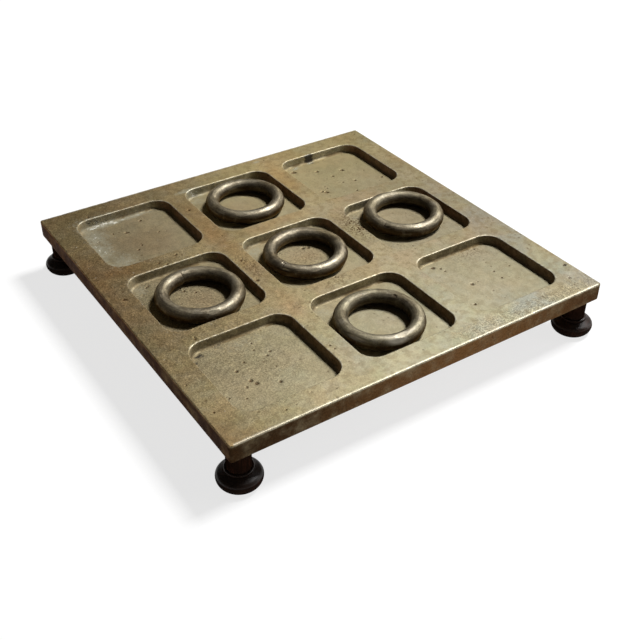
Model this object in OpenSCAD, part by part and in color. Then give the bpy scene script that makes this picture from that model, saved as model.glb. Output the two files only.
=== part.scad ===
// Tic-tac-toe board: a cast brass plate with nine shallow pockets, five loose rings to play
// with, and four turned wooden feet, each held by a screw from below.
// Millimetres, +Z up. The origin is on the table, under the middle of the board.

/* [Pockets] */
// Side of one square pocket, across its mouth
pocket_side = 51; // [49:0.5:60]
// Depth of a pocket below the plate's top face
pocket_depth = 4.6; // [3:0.1:5.5]
// Radius of a pocket's corners, seen from above
pocket_corner_r = 8.5; // [5:0.5:14]
// Lean of a pocket's walls, in degrees, which lets the casting leave its mould
pocket_draft = 6; // [1:1:10]
// Radius between a pocket's walls and its floor
pocket_floor_r = 1.2; // [0.4:0.1:1.8]
// Rounding of a pocket's rim
pocket_rim_r = 0.6; // [0.2:0.1:1]
// Width of the bars between the pockets
web_w = 10.6; // [6:0.2:20]
// Width of the border outside the pockets
border_w = 12.9; // [9:0.1:30]

/* [Plate] */
// Thickness of the cast plate
plate_t = 9; // [8.5:0.5:16]
// Radius of the plate's four upright corners
plate_corner_r = 1.2; // [0.8:0.1:4]
// Rounding of the plate's top and bottom edges
plate_edge_r = 0.6; // [0.2:0.1:0.8]

/* [Rings] */
// Thickness of the rod that a ring is bent from
rod_d = 7.3; // [5:0.1:8.5]
// Diameter of a ring, measured to the middle of its rod
ring_d = 35; // [28:0.5:36]
// Gap between a ring and the pocket floor under it
seat_gap = 0.1; // [0.05:0.05:0.3]
// Least gap between a ring and a pocket's wall
wall_gap = 0.3; // [0.2:0.1:0.8]
// Where the centre ring lies in its pocket: shares of its play, to the right and to the back
push_centre = [-0.3, 0]; // [-1:0.05:1]
// The same for the ring in the front pocket
push_front = [-0.9, -0.7]; // [-1:0.05:1]
// The same for the ring in the left pocket
push_left = [0.05, -0.85]; // [-1:0.05:1]
// The same for the ring in the right pocket
push_right = [0.3, 1]; // [-1:0.05:1]
// The same for the ring in the back pocket
push_back = [0, -0.1]; // [-1:0.05:1]

/* [Feet] */
// Height of a foot, from the table to the plate
foot_h = 18.9; // [16:0.1:40]
// Distance from the middle of a foot to each of the two plate edges beside it
foot_inset = 7.2; // [6.5:0.1:9]
// Diameter of the neck, under the plate
neck_d = 10.6; // [9:0.1:11]
// Diameter of the bead at the lower end of the neck
bead_d = 12.7; // [12.3:0.1:13]
// Radius of the bead's round edge
bead_r = 0.75; // [0.6:0.05:1]
// Diameter at the quirk, the fine groove between the bead and the bun
quirk_d = 12; // [11.8:0.1:12.4]
// Height of the quirk above the table
quirk_h = 7.4; // [7:0.1:9]
// Diameter of the bun at its widest
bun_d = 19.7; // [18:0.1:24]
// Height of the bun's widest line above the table
bun_mid_h = 3.8; // [3:0.1:4.2]
// Radius of the bun's shoulder, above its widest line
bun_shoulder_r = 2.6; // [1.5:0.1:2.8]
// Diameter of the flat base that the foot stands on
base_d = 14.9; // [13:0.1:16.5]

/* [Screws and washers] */
// Diameter of a foot's screw
screw_d = 4; // [3:0.5:5]
// Length of the screw's end in the plate
thread_grip = 6.3; // [4:0.1:6.5]
// Diameter of the screw's head
head_d = 7; // [6.5:0.1:8.5]
// Height of the screw's head
head_h = 2.6; // [2:0.1:3]
// Rounding of the head's outer edge
head_edge_r = 0.4; // [0.2:0.1:0.8]
// Width of the slot in the head
slot_w = 1.2; // [0.8:0.1:1.6]
// Depth of the slot in the head
slot_depth = 1.1; // [0.8:0.1:1.4]
// Diameter of the washer
washer_d = 9; // [8.8:0.1:9.4]
// Thickness of the washer
washer_t = 0.8; // [0.5:0.1:1.2]
// Depth of the counterbore in the foot's base
counterbore_depth = 6; // [5:0.1:6.5]

/* [Clearances] */
// Gap all round between a screw's thread and its hole in the plate
thread_gap = 0.05; // [0.02:0.01:0.1]
// Gap all round between a screw and the bore of its foot
bore_gap = 0.25; // [0.1:0.05:0.4]
// Gap all round between a screw and its washer
washer_gap = 0.15; // [0.1:0.05:0.3]
// Gap all round between a washer and its counterbore
counterbore_gap = 0.4; // [0.2:0.1:0.6]
// Room left in the plate's hole beyond the end of the screw
tap_runout = 0.7; // [0.3:0.1:1]

/* [Hidden] */
$fn = 96;
// How far a cutting shape reaches past the faces it cuts
cut_over = 1;
// How far a pocket rim's arc cuts into the wall under it, so that the two meet in one clean line
rim_bite = 0.001;
// Bevel round the end of a screw
screw_tip = 0.5;

cell_pitch = pocket_side + web_w;
board_side = 3 * pocket_side + 2 * web_w + 2 * border_w;
plate_top = foot_h + plate_t;
pocket_floor = plate_top - pocket_depth;

// A ring's rod and radius, the height of its middle, and how far it can shift in its pocket
rod_r = rod_d / 2;
ring_r = ring_d / 2;
ring_z = pocket_floor + seat_gap + rod_r;
wall_at_ring = pocket_side / 2 - (plate_top - ring_z) * tan(pocket_draft);
ring_play = wall_at_ring - wall_gap - ring_r - rod_r;

// The feet's distance from the middle of the board, along both sides
foot_reach = board_side / 2 - foot_inset;
counterbore_d = washer_d + 2 * counterbore_gap;
washer_z = counterbore_depth - washer_t;
head_z = washer_z - head_h;

// A ring's name, the column and row of its pocket, and its place there
RINGS = [
    ["ring_centre", [0, 0], push_centre],
    ["ring_front", [0, -1], push_front],
    ["ring_left", [-1, 0], push_left],
    ["ring_right", [1, 0], push_right],
    ["ring_back", [0, 1], push_back]
];

// A foot's corner of the board, by name and by side
CORNERS = [
    ["front_left", [-1, -1]],
    ["front_right", [1, -1]],
    ["back_right", [1, 1]],
    ["back_left", [-1, 1]]
];

// A square block with round corners. Its rim follows one edge profile, the child, all the way
// round: the profile's x runs outwards from the middle of a corner's rounding, and its y runs up.
module moulded_square(side, corner_r, low, high) {
    run = side - 2 * corner_r;
    translate([-run / 2, -run / 2, low])
        cube([run, run, high - low]);
    for (turn = [0 : 90 : 270])
        rotate(turn)
            translate([run / 2, run / 2, 0]) {
                rotate_extrude(angle = 90)
                    children();
                rotate([90, 0, 0])
                    linear_extrude(run)
                        children();
            }
}

// The plate's edge: upright, with a small rounding at the top and at the bottom
module plate_edge() {
    flat = plate_corner_r - plate_edge_r;
    square([flat, plate_t]);
    translate([0, plate_edge_r])
        square([plate_corner_r, plate_t - 2 * plate_edge_r]);
    intersection() {
        for (y = [plate_edge_r, plate_t - plate_edge_r])
            translate([flat, y])
                circle(plate_edge_r);
        square([plate_corner_r, plate_t]);
    }
}

// The side of a pocket, as the shape that is cut away: a leaning wall that runs into the floor
// in one arc and out over the rim in another
module pocket_edge() {
    lean = tan(pocket_draft);
    across = cos(pocket_draft);
    floor_arc = [
        pocket_corner_r - (pocket_depth - pocket_floor_r) * lean - pocket_floor_r / across,
        pocket_floor_r - pocket_depth
    ];
    rim_arc = [pocket_corner_r - pocket_rim_r * lean + pocket_rim_r / across, -pocket_rim_r];
    wall_foot = floor_arc + pocket_floor_r * [across, -sin(pocket_draft)];
    wall_head = rim_arc - pocket_rim_r * [across, -sin(pocket_draft)];
    difference() {
        polygon([
            [0, -pocket_depth],
            [floor_arc.x, -pocket_depth],
            wall_foot,
            wall_head,
            rim_arc,
            [rim_arc.x, cut_over],
            [0, cut_over]
        ]);
        translate(rim_arc)
            circle(pocket_rim_r + rim_bite);
    }
    translate(floor_arc)
        circle(pocket_floor_r);
}

// The cast plate, with a three by three grid of pockets and a blind hole over each foot
module plate() {
    color([0.62, 0.56, 0.42])
        difference() {
            translate([0, 0, foot_h])
                moulded_square(board_side, plate_corner_r, 0, plate_t)
                    plate_edge();
            for (column = [-1 : 1], row = [-1 : 1])
                translate([column * cell_pitch, row * cell_pitch, plate_top])
                    moulded_square(pocket_side, pocket_corner_r, -pocket_depth, cut_over)
                        pocket_edge();
            for (corner = CORNERS)
                at_foot(corner)
                    translate([0, 0, foot_h - cut_over])
                        cylinder(h = cut_over + thread_grip + tap_runout, d = screw_d + 2 * thread_gap);
        }
}

// A playing ring, bent from round rod, where it lies in its pocket
module ring(cell, push) {
    place = cell * cell_pitch + push * ring_play;
    color([0.42, 0.38, 0.32])
        translate([place.x, place.y, ring_z])
            rotate_extrude()
                translate([ring_r, 0])
                    circle(rod_r);
}

module at_foot(corner) {
    translate([corner[1].x * foot_reach, corner[1].y * foot_reach, 0])
        children();
}

// The outline of a foot, turned about the y axis: a neck, a bead, and a bun whose shoulder is a
// straight slope that runs into an arc
module foot_outline() {
    bun_r = bun_d / 2;
    quirk = [quirk_d / 2, quirk_h];
    // Below its widest line the bun is one arc down to the base
    tuck = bun_r - base_d / 2;
    low_arc_r = (tuck * tuck + bun_mid_h * bun_mid_h) / (2 * tuck);
    square([bun_r - low_arc_r, bun_mid_h]);
    intersection() {
        translate([bun_r - low_arc_r, bun_mid_h])
            circle(low_arc_r);
        square([bun_r, bun_mid_h]);
    }
    // Above it the slope from the quirk meets the shoulder's arc at a tangent
    arc_mid = [bun_r - bun_shoulder_r, bun_mid_h];
    reach = arc_mid - quirk;
    slope_len = sqrt(reach * reach - bun_shoulder_r * bun_shoulder_r);
    slope_angle = atan2(reach.y, reach.x) + asin(bun_shoulder_r / norm(reach));
    slope_end = quirk + slope_len * [cos(slope_angle), sin(slope_angle)];
    polygon([[0, bun_mid_h], arc_mid, slope_end, quirk, [0, quirk_h]]);
    intersection() {
        translate(arc_mid)
            circle(bun_shoulder_r);
        translate([0, bun_mid_h])
            square([bun_r, quirk_h]);
    }
    bead_x = bead_d / 2 - bead_r;
    translate([bead_x, quirk_h + sqrt(bead_r * bead_r - pow(quirk.x - bead_x, 2))])
        circle(bead_r);
    square([neck_d / 2, foot_h]);
}

// A turned wooden foot, bored for its screw and counterbored from below for the head
module foot(corner) {
    color([0.13, 0.1, 0.09])
        at_foot(corner)
            difference() {
                rotate_extrude()
                    foot_outline();
                translate([0, 0, -cut_over])
                    cylinder(h = foot_h + 2 * cut_over, d = screw_d + 2 * bore_gap);
                translate([0, 0, -cut_over])
                    cylinder(h = counterbore_depth + cut_over, d = counterbore_d);
            }
}

// The outline of a screw, turned about the y axis, from its head up to its tapered end
module screw_outline() {
    screw_r = screw_d / 2;
    head_r = head_d / 2;
    screw_end = foot_h + thread_grip;
    translate([0, head_z + head_edge_r])
        square([head_r, head_h - head_edge_r]);
    translate([0, head_z])
        square([head_r - head_edge_r, head_h]);
    translate([head_r - head_edge_r, head_z + head_edge_r])
        circle(head_edge_r);
    polygon([
        [0, washer_z],
        [screw_r, washer_z],
        [screw_r, screw_end - screw_tip],
        [screw_r - screw_tip, screw_end],
        [0, screw_end]
    ]);
}

// A slotted screw that pulls its foot up against the plate. Each one stopped at its own angle.
module foot_screw(corner) {
    slot_turn = 25 * corner[1].x + 40 * corner[1].y;
    color([0.72, 0.6, 0.36])
        at_foot(corner)
            difference() {
                rotate_extrude()
                    screw_outline();
                translate([0, 0, head_z])
                    rotate(slot_turn)
                        cube([head_d + cut_over, slot_w, 2 * slot_depth], center = true);
            }
}

// The plain washer between a screw's head and the soft wood
module foot_washer(corner) {
    color([0.66, 0.55, 0.34])
        at_foot(corner)
            translate([0, 0, washer_z])
                difference() {
                    cylinder(h = washer_t, d = washer_d);
                    translate([0, 0, -cut_over])
                        cylinder(h = washer_t + 2 * cut_over, d = screw_d + 2 * washer_gap);
                }
}

plate();
for (item = RINGS)
    ring(item[1], item[2]);
for (corner = CORNERS) {
    foot(corner);
    foot_screw(corner);
    foot_washer(corner);
}
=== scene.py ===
# %% [markdown]
# Tic-tac-toe board of cast brass
#
# The object is a heavy square plate with nine shallow pockets, five rings bent from round rod
# that lie in the pockets, and four turned feet of blackened wood. The construction comes from
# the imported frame: its sizes, its bodies and the way the rings lift. This script adds the looks:
# the uneven skin of a casting, the seams and nicks of bent rod, and the finish of every surface.
#
# All lengths are in metres. One millimetre gets a name, so that the sizes read as on a drawing.

# %% Load the frame
import bpy
import bmesh
import random
from math import atan2, copysign, cos, exp, hypot, pi, radians, sin, tan
from mathutils import Matrix, Vector, noise


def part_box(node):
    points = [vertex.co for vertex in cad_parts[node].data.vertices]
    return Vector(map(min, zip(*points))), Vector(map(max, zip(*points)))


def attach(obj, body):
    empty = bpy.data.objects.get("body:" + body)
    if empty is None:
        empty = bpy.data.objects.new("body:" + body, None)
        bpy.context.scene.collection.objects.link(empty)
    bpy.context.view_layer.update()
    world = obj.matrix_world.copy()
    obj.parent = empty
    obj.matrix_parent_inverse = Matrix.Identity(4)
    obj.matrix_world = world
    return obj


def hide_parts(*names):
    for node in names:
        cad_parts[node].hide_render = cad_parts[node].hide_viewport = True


MM = 0.001
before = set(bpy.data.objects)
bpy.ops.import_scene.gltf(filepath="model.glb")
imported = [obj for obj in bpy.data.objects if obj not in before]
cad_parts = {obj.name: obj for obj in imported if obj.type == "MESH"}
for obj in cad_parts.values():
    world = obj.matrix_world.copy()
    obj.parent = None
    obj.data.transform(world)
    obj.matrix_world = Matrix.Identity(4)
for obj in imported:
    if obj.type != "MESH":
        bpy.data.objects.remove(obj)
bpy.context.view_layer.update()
plate_low, plate_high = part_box("plate")
print("plate", [round(1000 * s, 2) for s in plate_high - plate_low], "mm")

# %% [markdown]
# The camera
#
# The view is a long lens that looks down at a corner of the board. The numbers came from the
# four edges of the plate: with a square of known size, its outline in a picture fixes the
# distance, the height and the lens together. Turning about Z, then tipping about X, then rolling
# about the camera's own axis is the same order that a tripod head has.

# %% Camera
VIEW_PLACE = Vector((-0.2154, -0.3320, 0.2769))
VIEW_AZIMUTH = radians(-33.907)
VIEW_ELEVATION = radians(36.386)
VIEW_ROLL = radians(0.386)
VIEW_LENS = 53.185
SENSOR_WIDTH = 36


def make_camera():
    data = bpy.data.cameras.new("view")
    data.sensor_width = SENSOR_WIDTH
    data.lens = VIEW_LENS
    data.clip_start = 10 * MM
    camera = bpy.data.objects.new("view", data)
    bpy.context.scene.collection.objects.link(camera)
    turn = Matrix.Rotation(VIEW_AZIMUTH, 4, "Z")
    tip = Matrix.Rotation(pi / 2 - VIEW_ELEVATION, 4, "X")
    roll = Matrix.Rotation(VIEW_ROLL, 4, "Z")
    camera.matrix_world = Matrix.Translation(VIEW_PLACE) @ turn @ tip @ roll
    bpy.context.scene.camera = camera


make_camera()
print("camera at", [round(v, 3) for v in bpy.context.scene.camera.location])

# %% [markdown]
# A few words for building materials
#
# A shader is a graph of nodes. Small helpers keep the recipes short. `add` makes a node and fills
# its sockets by name, and `wire` joins a value to an input. `ink` turns the colour that a screen
# shows, from 0 to 255, into the linear light that shaders count in.
#
# A `Value` is what a node puts out: a mask, a colour or a place. Masks are sums and products of
# numbers from 0 to 1, so a value answers to the signs + - * and /, and each sign makes one Math
# node. A recipe then reads as the sum that it is.

# %% Helpers for shader graphs


def ink(red, green, blue):
    linear = [((v / 255 + 0.055) / 1.055) ** 2.4 if v > 10 else v / 255 / 12.92 for v in (red, green, blue)]
    return (*linear, 1)


class Value:
    def __init__(self, socket):
        self.socket = socket
        self.tree = socket.id_data

    def __add__(self, other):
        return calc("ADD", self, other)

    def __sub__(self, other):
        return calc("SUBTRACT", self, other)

    def __rsub__(self, other):
        return calc("SUBTRACT", other, self)

    def __mul__(self, other):
        return calc("MULTIPLY", self, other)

    def __truediv__(self, other):
        return calc("DIVIDE", self, other)

    def __rtruediv__(self, other):
        return calc("DIVIDE", other, self)


def wire(value, socket):
    if isinstance(value, Value):
        value.tree.links.new(value.socket, socket)
    else:
        socket.default_value = value


def add(tree, kind, inputs=None, **settings):
    node = tree.nodes.new("ShaderNode" + kind)
    for name, value in settings.items():
        setattr(node, name, value)
    for name, value in (inputs or {}).items():
        wire(value, node.inputs[name])
    return node


def tree_of(*values):
    """The tree that the first value among these belongs to. Plain numbers belong to none."""
    return next(value.tree for value in values if isinstance(value, Value))


def calc(operation, first, second=0.0, clamp=False):
    tree = tree_of(first, second)
    return Value(add(tree, "Math", {0: first, 1: second}, operation=operation, use_clamp=clamp).outputs[0])


def most(first, second):
    return calc("MAXIMUM", first, second)


def start_material(name):
    material = bpy.data.materials.new(name)
    material.use_nodes = True
    tree = material.node_tree
    return material, tree, tree.nodes["Principled BSDF"]


print("mid grey on a screen is", round(ink(128, 128, 128)[0], 3), "in linear light")

# %% [markdown]
# `spread` stretches a band of values over another one. `blend` lays one colour over another, and
# `tint` multiplies a colour, as a stain or a shadow does.

# %% Bands and colours


def spread(value, low, high, to_low=0.0, to_high=1.0):
    """Stretches the band from low to high over the band from to_low to to_high, with soft ends."""
    inputs = {"Value": value, "From Min": low, "From Max": high}
    node = add(tree_of(value), "MapRange", inputs, interpolation_type="SMOOTHSTEP")
    node.inputs["To Min"].default_value = to_low
    node.inputs["To Max"].default_value = to_high
    return Value(node.outputs["Result"])


def blend(share, first, second, mode="MIX"):
    tree = tree_of(share, first, second)
    node = add(tree, "Mix", data_type="RGBA", blend_type=mode, clamp_factor=True)
    wire(share, node.inputs["Factor"])
    wire(first, node.inputs[6])
    wire(second, node.inputs[7])
    return Value(node.outputs[2])


def tint(colour, by, share=1.0):
    return blend(share, colour, by, "MULTIPLY")


# %% [markdown]
# Every pattern needs a place. Object coordinates count in metres from the origin that all pieces
# share, so grain and stains keep their true size and stay put when a piece moves. A place can be
# split into its parts, shifted, or stretched so that the noise read there is drawn out.

# %% Places and grain


def own_place(tree):
    return Value(add(tree, "TexCoord").outputs["Object"])


def split(place):
    """The X, Y and Z of a place or a direction."""
    return [Value(part) for part in add(tree_of(place), "SeparateXYZ", {"Vector": place}).outputs]


def facing(tree, axis):
    """How far the surface faces along one axis of its piece, from -1 to 1."""
    return split(Value(add(tree, "TexCoord").outputs["Normal"]))["XYZ".index(axis)]


def shifted(place, by):
    return Value(add(tree_of(place), "VectorMath", {0: place, 1: by}).outputs[0])


def stretched(place, factors):
    return Value(add(tree_of(place), "VectorMath", {0: place, 1: factors}, operation="MULTIPLY").outputs[0])


def grain(place, size, detail=3.0, rough=0.55, seed=0.0):
    """Cloudy noise whose patches are about as wide as size."""
    inputs = {"Vector": place, "Scale": 1 / size, "Detail": detail, "Roughness": rough, "W": seed}
    return Value(add(tree_of(place), "TexNoise", inputs, noise_dimensions="4D").outputs["Fac"])


def carried(tree, name, output="Fac"):
    """A value that the mesh carries at each of its points."""
    return Value(add(tree, "Attribute", attribute_name=name, attribute_type="GEOMETRY").outputs[output])


# %% [markdown]
# A fine relief is too small for the mesh, so a Bump node turns heights in metres into light and
# shade.

# %% Relief of a skin


def emboss(shader, height, strength=0.8):
    bump = add(shader.id_data, "Bump", {"Height": height, "Strength": strength, "Distance": 1.0})
    wire(Value(bump.outputs["Normal"]), shader.inputs["Normal"])


# %% [markdown]
# Effects that several finishes share
#
# Each shared effect is a node group: a small machine with named inputs and outputs. Built once
# and placed with other values, the same group gives stains to the brass and to the wood. Groups
# here give out masks only. The shader stays in the material.

# %% Helpers for node groups


def new_group(name, inputs):
    """A group with a Place, other named inputs, and one Mask that it gives out."""
    group = bpy.data.node_groups.new(name, "ShaderNodeTree")
    group.interface.new_socket("Place", in_out="INPUT", socket_type="NodeSocketVector")
    for label, value in inputs.items():
        kind = "NodeSocketVector" if value is None else "NodeSocketFloat"
        socket = group.interface.new_socket(label, in_out="INPUT", socket_type=kind)
        if value is not None:
            socket.default_value = value
    group.interface.new_socket("Mask", in_out="OUTPUT", socket_type="NodeSocketFloat")
    given = {socket.name: Value(socket) for socket in group.nodes.new("NodeGroupInput").outputs}
    return group, given, group.nodes.new("NodeGroupOutput").inputs["Mask"]


def use_group(group, **values):
    tree = tree_of(values["Place"])
    node = tree.nodes.new("ShaderNodeGroup")
    node.node_tree = group
    for name, value in values.items():
        wire(value, node.inputs[name])
    return Value(node.outputs["Mask"])


# %% [markdown]
# Stains are soft-edged patches of one noise. Pits are small round dots, one to a cell of a
# Voronoi pattern, and most cells have none. Scratches are noise drawn out along one direction.
# Wear starts where the mesh marks an edge and breaks up as it fades.

# %% Shared effects as node groups
STAIN_SOFTNESS = 0.08
PIT_ROUNDING = 0.6
SCRATCH_DRAW = (0.05, 1.0, 1.0)
SCRATCH_SOFTNESS = 0.04
WEAR_BREAK = 0.9


def make_stain_group():
    group, given, mask = new_group("stains", {"Size": 0.02, "Share": 0.5, "Seed": 0.0})
    inputs = {"Vector": given["Place"], "W": given["Seed"], "Scale": 1.0 / given["Size"], "Detail": 6.0}
    cloud = Value(add(group, "TexNoise", inputs, noise_dimensions="4D").outputs["Fac"])
    edge = 0.75 - given["Share"] * 0.5
    wire(spread(cloud, edge - STAIN_SOFTNESS, edge + STAIN_SOFTNESS), mask)
    return group


def make_pit_group():
    group, given, mask = new_group("pits", {"Spacing": 0.003, "Share": 0.3, "Size": 0.25})
    inputs = {"Vector": given["Place"], "Scale": 1.0 / given["Spacing"], "Randomness": 1.0}
    cells = add(group, "TexVoronoi", inputs).outputs
    luck = add(group, "SeparateColor", {"Color": Value(cells["Color"])}).outputs
    chosen = calc("LESS_THAN", Value(luck["Red"]), given["Share"])
    own_size = given["Size"] * spread(Value(luck["Green"]), 0.0, 1.0, 0.35, 1.0)
    depth = calc("SUBTRACT", 1.0, Value(cells["Distance"]) / own_size, clamp=True)
    wire(chosen * calc("SMOOTH_MIN", depth, PIT_ROUNDING), mask)
    return group


def make_scratch_group():
    group, given, mask = new_group("scratches", {"Turn": None, "Width": 0.0004, "Share": 0.3})
    inputs = {"Vector": given["Place"], "Rotation": given["Turn"]}
    turned = Value(add(group, "VectorRotate", inputs, rotation_type="EULER_XYZ").outputs[0])
    drawn = stretched(turned, SCRATCH_DRAW)
    inputs = {"Vector": drawn, "Scale": 1.0 / given["Width"], "Detail": 1.0, "Roughness": 0.4}
    lines = Value(add(group, "TexNoise", inputs).outputs["Fac"])
    edge = 0.72 - given["Share"] * 0.15
    wire(spread(lines, edge, edge + SCRATCH_SOFTNESS), mask)
    return group


def make_wear_group():
    group, given, mask = new_group("edge wear", {"Edge": 0.0, "Size": 0.002})
    inputs = {"Vector": given["Place"], "Scale": 1.0 / given["Size"], "Detail": 4.0, "Roughness": 0.6}
    chips = Value(add(group, "TexNoise", inputs).outputs["Fac"])
    wire(spread(given["Edge"] + (chips - 0.5) * WEAR_BREAK, 0.35, 0.8), mask)
    return group


STAINS = make_stain_group()
PITS = make_pit_group()
SCRATCHES = make_scratch_group()
EDGE_WEAR = make_wear_group()
print("shared effects:", [g.name for g in bpy.data.node_groups])

# %% [markdown]
# Aged cast brass
#
# Brass straight from a sand mould is dull and finely grained. Years of handling leave the flat
# top a mottled yellow-beige with olive and pinkish-brown stains. The rims, where fingers rub,
# stay bright, and the walls and sides, where nobody rubs, keep a dark skin, darkened further as a
# painted shade where they face away from the light.
#
# The plate's mesh carries marks that the finish reads. `edge` is on the rims, `shelter` on the
# walls and sides, and `pit` in the pits. `residue`, `scale`, `warm` and `pepper` are dabbed on
# where the board has old polish, casting scale, brown from hands, and fine black pores.

# %% Colours of the cast brass
BRASS_GOLD = ink(172, 155, 115)
BRASS_GREY = ink(154, 149, 131)
# Browner toward the left corner, and darker there as a painted shade
BRASS_BROWN_AND_SHADE = (0.54, 0.50, 0.46, 1)
BRASS_BEIGE = ink(178, 163, 126)
BRASS_OLIVE = ink(152, 144, 106)
BRASS_PINK = ink(170, 138, 106)
BRASS_SHADE = ink(130, 113, 82)
BRASS_DUST = ink(162, 155, 129)
BRASS_BRIGHT = ink(232, 227, 210)
WALL_BROWN = ink(196, 188, 158)
WALL_GRIME = ink(74, 64, 42)
WALL_PAINTED_SHADE = ink(164, 134, 108)
SIDE_BROWN = ink(94, 68, 42)
SIDE_PAINTED_SHADE = ink(43, 28, 14)
VEIL = ink(166, 164, 146)
RESIDUE = ink(206, 204, 192)
SCALE_BLACK = ink(42, 41, 44)
PIT_DARK = ink(70, 46, 24)
OXIDE_SHEEN = ink(206, 164, 106)
NO_TINT = (1, 1, 1, 1)

# What parts of the board multiply its colour by. The front's is a painted highlight that also
# greys it, the right's a painted shade, and the back's makes it lighter and yellower. The warm
# ones are brown from hands on the top, and a warmer tone on the walls at the back left
FRONT_PAINTED_HIGHLIGHT = (1.11, 1.2, 1.3, 1)
RIGHT_PAINTED_SHADE = (0.79, 0.78, 0.78, 1)
TINT_BACK = (1.09, 1.07, 0.91, 1)
TINT_WARM = (1.0, 0.86, 0.77, 1)
WALL_WARM = (1.12, 0.94, 0.76, 1)

# Colour, width of its patches, share of the surface, seed, strength
BRASS_STAINS = (
    (BRASS_BEIGE, 0.030, 0.60, 1.0, 0.50),
    (BRASS_OLIVE, 0.022, 0.50, 9.0, 0.42),
    (BRASS_PINK, 0.018, 0.42, 4.0, 0.22),
    (BRASS_GREY, 0.009, 0.42, 6.0, 0.22),
    (BRASS_SHADE, 0.0035, 0.44, 7.0, 0.40),
)
print("the brass has", len(BRASS_STAINS), "layers of stains")

# %% [markdown]
# The brass is built up in layers, as its age was. Several layers ask the same things: where a
# point is on the board, how deep it lies, and how sheltered it is. A `Skin` works those answers
# out once and keeps them by name. `corner` is low at the left corner, back left, and rises to
# the front right. `browned_and_shaded` makes the brass browner toward that corner, and darker
# there as a painted shade. `left` is strong on the left half, where the sand grain shows.
#
# The sand grain is coarse on the left and in one cracked strip along the front, and nearly
# rubbed away in the pockets toward the back.

# %% What the layers of the brass share
MARKS = ("edge", "shelter", "pit", "residue", "scale", "warm", "pepper")
SAND_SIZE = 0.0009
FINE_SIZE = 0.0004
CLOUD_SIZE = 0.05
CLOUD_REACH = 0.12
FLOOR_DEPTHS = (0.001, 0.0035)


class Skin:
    """What is true at a point of the brass skin: each value has a name."""

    def __init__(self, tree):
        self.place = own_place(tree)
        for mark in MARKS:
            setattr(self, mark, carried(tree, mark))
        self.facing = facing(tree, "X")
        self.across, self.along, height = split(self.place)
        self.depth = plate_high.z - height
        self.cloud = (grain(self.place, CLOUD_SIZE, detail=4.0, seed=2.0) - 0.5) * CLOUD_REACH
        self.corner = self.across - self.along * 0.5 + self.cloud
        # Browner toward the left corner, and darker there as a painted shade
        self.browned_and_shaded = blend(spread(self.corner, -0.13, 0.01), BRASS_BROWN_AND_SHADE, NO_TINT)
        self.sand = grain(self.place, SAND_SIZE, detail=3.0, rough=0.7)
        self.fine = grain(self.place, FINE_SIZE, detail=1.0, seed=3.0)
        left = spread(self.across, -0.1, 0.01, 1.0, 0.3)
        self.left = left * spread(self.along, -0.1, -0.03, 0.55, 1.0)
        self.floors = spread(self.depth, *FLOOR_DEPTHS)
        calm = self.floors * spread(self.along, 0.01, 0.05, 0.0, 0.55)
        front_strip = spread(self.along, -0.096, -0.084, 1.0, 0.0)
        crackle = front_strip * spread(self.across, 0.0, 0.03)
        self.coarse = most(self.left * (1.0 - calm), crackle)


CAST_BRASS, brass_tree, brass_shader = start_material("cast brass")
skin = Skin(brass_tree)
print("what the layers share:", len(brass_tree.nodes), "nodes so far")

# %% [markdown]
# First the slow colours of the top. The middle is golden and the right greyer, and stains lie
# over both. The left corner is browner and darker, the darkening partly a painted shade. The
# front is paler and greyer as a painted highlight, the right darker as a painted shade, and the
# back lighter and yellower. Hands have left the top warm in places. Dust and wax keep the pocket
# floors greyer than the rubbed top.

# %% Brass layer: stains of the top
FLOOR_DUST = 0.45


def stain_top(skin):
    colour = blend(spread(skin.corner, -0.05, 0.1), BRASS_GOLD, BRASS_GREY)
    for stain, size, share, seed, amount in BRASS_STAINS:
        mask = use_group(STAINS, Place=skin.place, Size=size, Share=share, Seed=seed)
        colour = blend(mask * amount, colour, stain)
    # Browner and darker toward the left corner, partly a painted shade
    colour = tint(colour, skin.browned_and_shaded)
    # Painted highlight: the front is made paler and greyer
    front = spread(skin.along, -0.1, 0.0, 1.0, 0.0) * spread(skin.across, -0.1, -0.03, 0.1, 1.0)
    colour = tint(colour, FRONT_PAINTED_HIGHLIGHT, front)
    colour = tint(colour, TINT_WARM, spread(skin.warm + skin.cloud * 2.0, 0.1, 1.0))
    dust = skin.floors * FLOOR_DUST * spread(skin.corner, -0.16, -0.02, 0.7, 1.0)
    colour = blend(dust, colour, BRASS_DUST)
    # Painted shade: the right is darkened
    colour = tint(colour, RIGHT_PAINTED_SHADE, spread(skin.across, 0.0, 0.1))
    # The back is made lighter and yellower
    back = spread(skin.along, 0.0, 0.1) * spread(skin.across, -0.05, 0.08)
    return tint(colour, TINT_BACK, back)


colour = stain_top(skin)
print("stains of the top:", len(brass_tree.nodes), "nodes so far")

# %% [markdown]
# Then the grain of the sand mould, as light and dark specks at three sizes. Each is a noise that
# multiplies the colour, by less than 1 in its hollows and by more on its grains.

# %% Brass layer: sand grain
MOTTLE_SIZE = 0.0024


def grain_top(skin, colour):
    mottle = grain(skin.place, MOTTLE_SIZE, detail=5.0, rough=0.65, seed=12.0)
    colour = tint(colour, spread(mottle, 0.3, 0.7, 0.86, 1.14), skin.coarse)
    colour = tint(colour, spread(skin.sand, 0.25, 0.75, 0.52, 1.34), skin.coarse)
    return tint(colour, spread(skin.fine, 0.3, 0.7, 0.69, 1.23), skin.coarse)


colour = grain_top(skin, colour)
print("sand grain:", len(brass_tree.nodes), "nodes so far")

# %% [markdown]
# The pocket walls and the plate's sides keep the skin of the casting. The marks tell them apart:
# `shelter` is 0.5 on a wall and 1 on a side. The side that faces left, away from the light, is
# the darkest, as a painted shade. The front one is brown, lighter in its middle and darker toward
# both ends, as painted light and shade. A wall that faces left, away from the light, is darker
# and redder as a painted shade, and grime clouds all of them.

# %% Brass layer: walls and sides


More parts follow.
